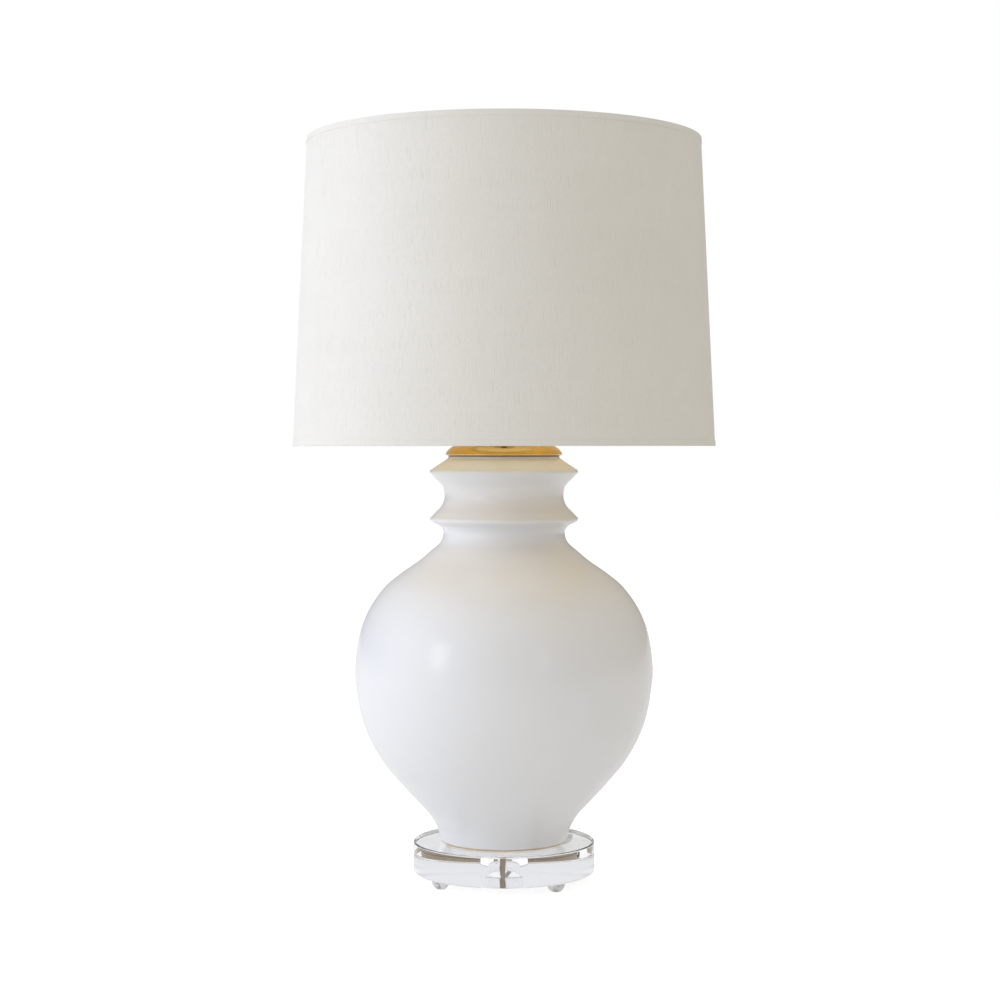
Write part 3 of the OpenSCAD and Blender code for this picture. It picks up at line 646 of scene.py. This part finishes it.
def strap():
    """Strap round the coil's turns, with its free end lying on top."""
    r_in, r_out, low, top, width, t = 22.4, 36.8, 0.75, 11.4, 9.0, 0.8
    corner, steps, sink = 1.6, 6, 0.05
    box = [(r_in, low, 180), (r_out, low, 270), (r_out, top, 0), (r_in, top, 90)]
    loop = []
    for r, z, turn in box:
        cx, cz = r + (corner if r == r_in else -corner), z + (corner if z == low else -corner)
        for s in range(steps + 1):
            a = math.radians(turn + 90 * s / steps)
            loop.append((cx, cz, math.cos(a), math.sin(a)))
    at, a = Vector((*COIL_AT, 0)), math.radians(215)
    outward, along = Vector((math.cos(a), math.sin(a), 0)), Vector((-math.sin(a), math.cos(a), 0))

    def ring(cx, cz, nx, nz, inner, outer, half, eased=0.15):
        out = []
        for depth, side in [(inner, -half), (inner, half), (outer, half - eased), (outer, eased - half)]:
            r, z = cx + nx * depth, cz + nz * depth
            out.append((at + outward * r + UP * z + along * side) * MM)
        return out

    rings = [ring(*place, corner - sink, corner + t - sink, width / 2) for place in loop]
    tongue = []
    for i, back in enumerate([2.2, 6, 10, 12.4]):
        thick, half = 0.55 - 0.12 * i, 3.9 if i == 3 else 4.2
        tongue.append(ring(r_out - back, top - corner, 0, 1, corner + t - 2 * sink,
                           corner + t + thick, half))
    return joined([loft(rings + rings[:1], capped=False), loft(tongue)])


strap_piece = piece("coil_strap", *strap(), ["cord_tie"], smooth=35)
blades = softened("plug_blades", 0.35)


# ---------------------------------------------------------------- base and vase

turned("disc", ["acrylic_disc"], 0.5, 256)


def bumpers():
    """Four clear domes: a small flat below, a rounded flank and a sharp upper rim. A gap under
    the disc keeps the two clear surfaces apart."""
    height, flat, rim, ring_r, first, gap = 8, 3, 8, 72, -50.8, 0.1
    top = height - gap
    centre = (rim ** 2 + height ** 2 - flat ** 2) / (2 * height)
    ball = math.hypot(flat, centre)
    low, high = math.atan2(-centre, flat), math.atan2(height - centre, rim)
    flank = [low + (high - low) * i / 16 for i in range(17)]
    chain = [(0, 0), (flat * 0.85, 0)]
    chain += [(ball * math.cos(a), centre + ball * math.sin(a)) for a in flank]
    chain = [p for p in chain if p[1] < top] + [(rim, top), (0, top)]
    points, faces = revolve([Vector(p) * MM for p in chain], False, 64)
    parts = []
    for k in range(4):
        angle = math.radians(first + 90 * k)
        at = Vector((math.cos(angle), math.sin(angle), 0)) * ring_r * MM
        parts.append(([p + at for p in points], faces))
    return joined(parts)


piece("bumpers", *bumpers(), ["bumper_feet"], smooth=30)


def thrown(angle, r, z):
    """The slight unevenness of a vase that was cast and finished by hand; its mouth stays round."""
    mouth, depth = 52 * MM, 0.22 * MM
    swing = noise.noise(Vector((math.cos(angle) * 1.6, math.sin(angle) * 1.6, z * 14)))
    return (r + swing * depth if r > mouth else r), z


turned("vase", ["vase_body", "vase_collar"], 1.5, 256, thrown)
turned("gasket", ["cap_gasket"], 0.2, 192)
turned("cap", ["vase_cap"], 0.8, 256)
turned("neck", ["brass_neck"], 0.35, 128)
turned("pipe_bushing", ["end_bushing"], 0.3, 96)
turned("pipe_washer", ["bottom_washer"], 0.2, 96)
softened("bottom_nut", 0.4)


# ---------------------------------------------------------------- socket and bulb

softened("harp_saddle", 0.3)
softened("set_screw", 0.2)
turned("socket_cup", ["socket_cap"], 0.5, 128)
turned("socket_tube", ["socket_shell"], 0.3, 160)
turned("fibre_liner", ["socket_liner"], 0.15, 96)


THREAD_PITCH = 3.6 * MM


def rolled(angle, z):
    """How far a rolled thread stands out at a place on it: 0 in its valley, 1 on its crest."""
    return 0.5 + 0.5 * math.cos(TAU * (z / THREAD_PITCH - angle / TAU))


def threaded(low, high, root, crest, wall):
    """Screw shell: its wall follows the thread between two heights and fades out at both ends."""
    rows, sides = 12, 96
    count = round((high - low) / (THREAD_PITCH / rows))
    zs = [low + (high - low) * i / count for i in range(count + 1)]
    chain = [Vector((root, z)) for z in zs] + [Vector((root - wall, z)) for z in reversed(zs)]

    def shape(angle, r, z):
        fade = min(1, (z - low) / THREAD_PITCH * 2, (high - z) / THREAD_PITCH * 2)
        return r + (crest - root) * rolled(angle, z) * max(fade, 0), z

    return revolve(chain, True, sides, shape)


shell_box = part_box("screw_shell")
shell = threaded(shell_box[0][2], shell_box[1][2], 13.75 * MM, 14.25 * MM, 0.45 * MM)
piece("screw_socket", *shell, ["screw_shell"])

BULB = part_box("bulb_contact")[0][2] + 0.6 * MM      # height that the bulb's base is drawn from


def bulb_cap():
    """Screw base of the bulb: a cone at its foot, the rolled thread and a crimped rim."""
    skirt = [(5, 2.5), (6.5, 2.5), (9.2, 3.6), (11.5, 5.0)]
    rim = [(12.6, 20.8), (13.0, 21.3), (13.1, 22.2), (13.1, 24.6), (12.9, 25.3)]
    root, low, high, rows, wall, proud = 12.0, 5.6, 20.6, 50, 0.45, 0.9
    outer = skirt + [(root, low + (high - low) * i / rows) for i in range(rows + 1)] + rim
    chain = [Vector(p) * MM for p in outer + [(r - wall, z) for r, z in reversed(outer)]]

    def shape(angle, r, z):
        fade = max(0.0, min(1.0, (z / MM - low) / 2, (high - z / MM) / 2))
        return r + proud * MM * rolled(angle, z) * fade, BULB + z

    return revolve(chain, True, 96, shape)


piece("bulb_screw_base", *bulb_cap(), ["bulb_base"])
turned("bulb_envelope", ["bulb_glass"], 0.2, 128)
turned("bulb_glass_ring", ["bulb_insulator"], 0.2, 64)
turned("bulb_tip", ["bulb_contact"], 0.35, 64)


def knob():
    """Turn knob on its stem: a fluted barrel with rounded ends, along -Y."""
    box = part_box("switch_knob")
    height = (box[0][2] + box[1][2]) / 2 / MM
    back, front, count, depth = 25, 37, 12, 0.42
    stem = [(0, 9), (1.9, 9), (2.2, 9.1), (2.2, 24.9)]
    body = [(4.1, back), (4.6, 25.15), (4.9, 25.6), (5.15, 26.8), (5.2, 28), (5.2, 31), (5.2, 35.6),
            (5.05, 36.3), (4.7, 36.8), (4.1, front), (2.2, 36.7), (0, 36.6)]

    def flutes(angle, r, z):
        if r < 4 or z < back:
            return r, z
        flute = abs(math.cos(count * angle / 2)) ** 3
        return r - depth * flute * min(1.0, (front - z) / 0.8), z

    points, faces = revolve([Vector(p) for p in stem + body], False, 144, flutes)
    return [Vector((p.x, -p.z, p.y + height)) * MM for p in points], [f[::-1] for f in faces]


piece("switch_turn_knob", *knob(), ["switch_knob"], smooth=35)


# ---------------------------------------------------------------- harp and ferrules

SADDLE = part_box("harp_saddle")[0][2] / MM
LEG_X, WIRE = 30.6, 3.6      # a leg's distance from the lamp's axis, and the wire's thickness


def arc(x, z, r, start, end, step=2.0):
    """Points on an arc in the XZ plane about (x, z), with at most step degrees between them."""
    count = math.ceil(abs(end - start) / step)
    angles = [math.radians(start + (end - start) * i / count) for i in range(count + 1)]
    return [Vector((x + r * math.cos(a), 0, z + r * math.sin(a))) for a in angles]


def harp():
    """Straight legs, a bend outwards, a long bow and the arch that meets above the bulb."""
    bend_r, bend_a, bow_r, bow_a = 40, 28, 170, 20
    bend_z = SADDLE + 48
    bow_x = LEG_X + bend_r - (bend_r + bow_r) * math.cos(math.radians(bend_a))
    bow_z = bend_z + (bend_r + bow_r) * math.sin(math.radians(bend_a))
    arch_r = bow_r + bow_x / math.cos(math.radians(bow_a))
    arch_z = bow_z + (bow_r - arch_r) * math.sin(math.radians(bow_a))
    half = [Vector((LEG_X, 0, SADDLE + up)) for up in (3, 20, 36)]
    half += arc(LEG_X + bend_r, bend_z, bend_r, 180, 180 - bend_a)
    half += arc(bow_x, bow_z, bow_r, 2 - bend_a, bow_a) + arc(0, arch_z, arch_r, bow_a + 3, 90)
    other = [Vector((-p.x, 0, p.z)) for p in reversed(half[:-1])]
    return [p * MM for p in half + other]


piece("harp_wire", *wire(harp(), WIRE / 2 * MM, 24), ["harp_bow"])
softened("harp_stud", 0.25)

FERRULE = [(3.9, 0), (4.4, 0), (4.8, 0.5), (4.8, 1.4), (4.5, 1.9), (4.5, 13), (4.1, 14), (3.9, 14)]
for side, name in [(-1, "left_ferrule"), (1, "right_ferrule")]:
    outline = rounded([Vector(p) for p in FERRULE], True, 0.35)
    points, faces = revolve(outline, True, 64)
    at = Vector((side * (LEG_X - 0.5), 0, SADDLE + 4))
    piece(name + "_sleeve", [(p + at) * MM for p in points], faces, [name])


# ---------------------------------------------------------------- fitter, shade and finial

turned("fitter_hub", ["spider_hub"], 0.4, 96)


def arms():
    """Three wires from the hub, level and then up to the upper ring."""
    hub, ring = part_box("spider_hub"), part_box("top_ring")
    level, ring_z = (hub[0][2] + hub[1][2]) / 2 / MM, (ring[0][2] + ring[1][2]) / 2 / MM
    ring_r = ring[1][0] / MM - 1.2
    slope, bend = 18, 20
    rise, half = math.tan(math.radians(slope)), math.tan(math.radians(slope / 2))
    knee = ring_r - (ring_z - level) / rise - bend * half
    path = [Vector((x, 0, level)) for x in (12.6, 30, 60)]
    path += arc(knee, level + bend, bend, -90, slope - 90)
    path.append(Vector((ring_r - 1.3, 0, ring_z - 0.3)))
    parts = []
    for k in (30, 150, 270):
        turn = Matrix.Rotation(math.radians(k), 3, "Z")
        parts.append(wire([turn @ p * MM for p in path], 1.4 * MM, 20, 0.2))
    return joined(parts)


piece("fitter_arms", *arms(), ["spider_arms"])
turned("ring_upper", ["top_ring"], 0.2, 256)
turned("ring_lower", ["bottom_ring"], 0.2, 256)
turned("liner", ["shade_liner"], 0.2, 256)


def eased(angle, r, z):
    """Faint swells of cloth that is glued over a stiff liner."""
    swell = noise.noise(Vector((math.cos(angle) * 2.2, math.sin(angle) * 2.2, z * 9)))
    return r + 0.16 * MM * (swell + 0.5), z


def linen_wall(rows):
    """The linen's outer and inner faces in section, each as rows + 1 points from foot to head."""
    chain = section("shade_linen")[0]
    low, high = min(p.y for p in chain), max(p.y for p in chain)
    foot, head = ([p.x for p in chain if abs(p.y - z) < 1e-5] for z in (low, high))

    def face(side):
        start, end = Vector((side(foot), low)), Vector((side(head), high))
        return [start + (end - start) * i / rows for i in range(rows + 1)]

    return face(max), face(min)


def cloth():
    """The linen as a thin closed shell between the two folded edges."""
    face, back = linen_wall(36)
    outer = {round(p.x, 9) for p in face}

    def shape(angle, r, z):
        return eased(angle, r, z) if round(r, 9) in outer else (r, z)

    return revolve(face + back[::-1], True, 288, shape)


linen_piece = piece("linen_cover", *cloth(), ["shade_linen"])


def seam():
    """Lap of the cloth down the back of the shade, where its two ends meet."""
    half, rings = 6.0 * MM, []
    across = [(-1, -0.2), (-0.96, 0.36), (-0.8, 0.5), (-0.3, 0.46), (0.3, 0.40), (0.8, 0.30),
              (0.97, 0.22), (1, -0.2)]
    for i, (r, z) in enumerate(linen_wall(40)[0]):
        lean = 0.25 * MM * math.sin(i * 0.9) * math.sin(i * 0.37)
        ring = []
        for s, proud in across:
            a = math.pi / 2 + (half * s + lean) / r
            rr = r + proud * MM
            ring.append(Vector((rr * math.cos(a), rr * math.sin(a), z)))
        rings.append(ring)
    points, faces = loft(rings)
    return points, [f[::-1] for f in faces]


seam_piece = piece("linen_lap", *seam(), ["shade_linen"], smooth=50)
upper_fold = turned("fold_upper", ["top_trim"], 0.45, 288)
lower_fold = turned("fold_lower", ["bottom_trim"], 0.9, 288)

turned("finial_foot", ["finial_base"], 0.35, 96)
turned("finial_ball", ["finial_knob"], 0.35, 96)

for name, cad in NODES.items():
    if not cad.hide_render:
        cad.data.materials.clear()
        cad.data.materials.append(FINISHES[SLOTS[name]])


# ---------------------------------------------------------------- studio

def studio_floor():
    """Pale floor that glows: white to the camera and through glass, dimmer in reflections, dimmest
    in the light it throws on the lamp, and clear from below."""
    seen, cast = 0.75, 0.27      # how strongly it glows to the camera, and as a source of light
    mirrored = 0.3               # how far a reflection goes from cast to seen
    material = bpy.data.materials.new("studio_floor")
    material.use_nodes = True
    tree = material.node_tree
    tree.nodes.clear()
    paint = node(tree, "BsdfDiffuse", {"Color": (0.60, 0.60, 0.60, 1)})
    path = node(tree, "LightPath").outputs
    direct = maths(tree, "MAXIMUM", path["Is Camera Ray"], path["Is Transmission Ray"])
    lit = maths(tree, "MAXIMUM", direct, maths(tree, "MULTIPLY", path["Is Glossy Ray"], mirrored))
    glow = node(tree, "Emission", {"Color": (1, 1, 1, 1), "Strength": remap(tree, lit, 0, 1, cast, seen)})
    both = node(tree, "AddShader", {0: paint.outputs[0], 1: glow.outputs[0]})
    clear = node(tree, "BsdfTransparent")
    below = node(tree, "NewGeometry").outputs["Backfacing"]
    out = node(tree, "MixShader", {0: below, 1: both.outputs[0], 2: clear.outputs[0]})
    node(tree, "OutputMaterial", {"Surface": out.outputs[0]})
    mesh = bpy.data.meshes.new("studio_floor")
    count, radius, level = 96, 9.0, -0.2 * MM
    angles = [TAU * j / count for j in range(count)]
    rim = [(radius * math.cos(a), radius * math.sin(a), level) for a in angles]
    mesh.from_pydata(rim, [], [list(range(count))])
    mesh.materials.append(material)
    floor = bpy.data.objects.new("studio_floor", mesh)
    bpy.context.scene.collection.objects.link(floor)


def area_light(name, at, aim, size, power, colour, mirrored=True):
    """Softbox that no camera sees; polished things show it only if it is mirrored."""
    data = bpy.data.lights.new(name, "AREA")
    data.shape, data.size, data.size_y = "RECTANGLE", *size
    data.energy, data.color = power, colour
    lamp = bpy.data.objects.new(name, data)
    lamp.location = at
    lamp.rotation_euler = (Vector(aim) - Vector(at)).to_track_quat("-Z", "Y").to_euler()
    lamp.visible_camera, lamp.visible_glossy, lamp.visible_transmission = False, mirrored, False
    bpy.context.scene.collection.objects.link(lamp)


def surroundings():
    """Even white backdrop for the camera, and an even pale grey one through glass. The light it gives
    is cooler from the left than from the right, stronger from above and weaker from behind the lamp."""
    world = bpy.data.worlds.new("studio")
    bpy.context.scene.world = world
    world.use_nodes = True
    tree = world.node_tree
    tree.nodes.clear()
    ray = node(tree, "TexCoord").outputs["Generated"]
    side, depth, height = node(tree, "SeparateXYZ", {0: ray}).outputs
    tint = blend(tree, remap(tree, side, -0.9, 0.9, 0, 1, True), (0.63, 0.65, 0.69), (0.675, 0.63, 0.545))
    upward, behind = remap(tree, height, 0.0, 0.9, 0.66, 1.35), remap(tree, depth, -0.6, 0.9, 1.0, 0.75)
    level = maths(tree, "MULTIPLY", upward, behind)
    lit = node(tree, "Background", {"Color": tint, "Strength": level})
    through = node(tree, "Background", {"Color": (0.80, 0.80, 0.83, 1), "Strength": 1.0})
    seen = node(tree, "Background", {"Color": (1, 1, 1, 1), "Strength": 1.0})
    path = node(tree, "LightPath").outputs
    both = node(tree, "MixShader", {0: path["Is Transmission Ray"], 1: lit.outputs[0], 2: through.outputs[0]})
    both = node(tree, "MixShader", {0: path["Is Camera Ray"], 1: both.outputs[0], 2: seen.outputs[0]})
    node(tree, "OutputWorld", {"Surface": both.outputs[0]})


studio_floor()
surroundings()
area_light("key", (-2.6, -0.4, 1.0), (0, 0, 0.40), (1.8, 1.6), 31.5, (0.90, 0.955, 1.12), False)
area_light("window", (-1.9, -1.6, 0.75), (0, 0, 0.30), (0.6, 0.7), 4.3, (1.0, 1.0, 1.0))
area_light("second", (1.25, -2.2, 0.70), (0, 0, 0.3), (0.35, 0.7), 0.9, (1.0, 0.98, 0.95))
area_light("under_shade", (0, 0, 0.63), (0, 0, 0), (0.2, 0.2), 0.15, (1.0, 0.71, 0.02), False)
paths = bpy.context.scene.cycles
paths.max_bounces, paths.glossy_bounces, paths.transmission_bounces = 24, 16, 16
bpy.context.scene.view_settings.view_transform = "Standard"
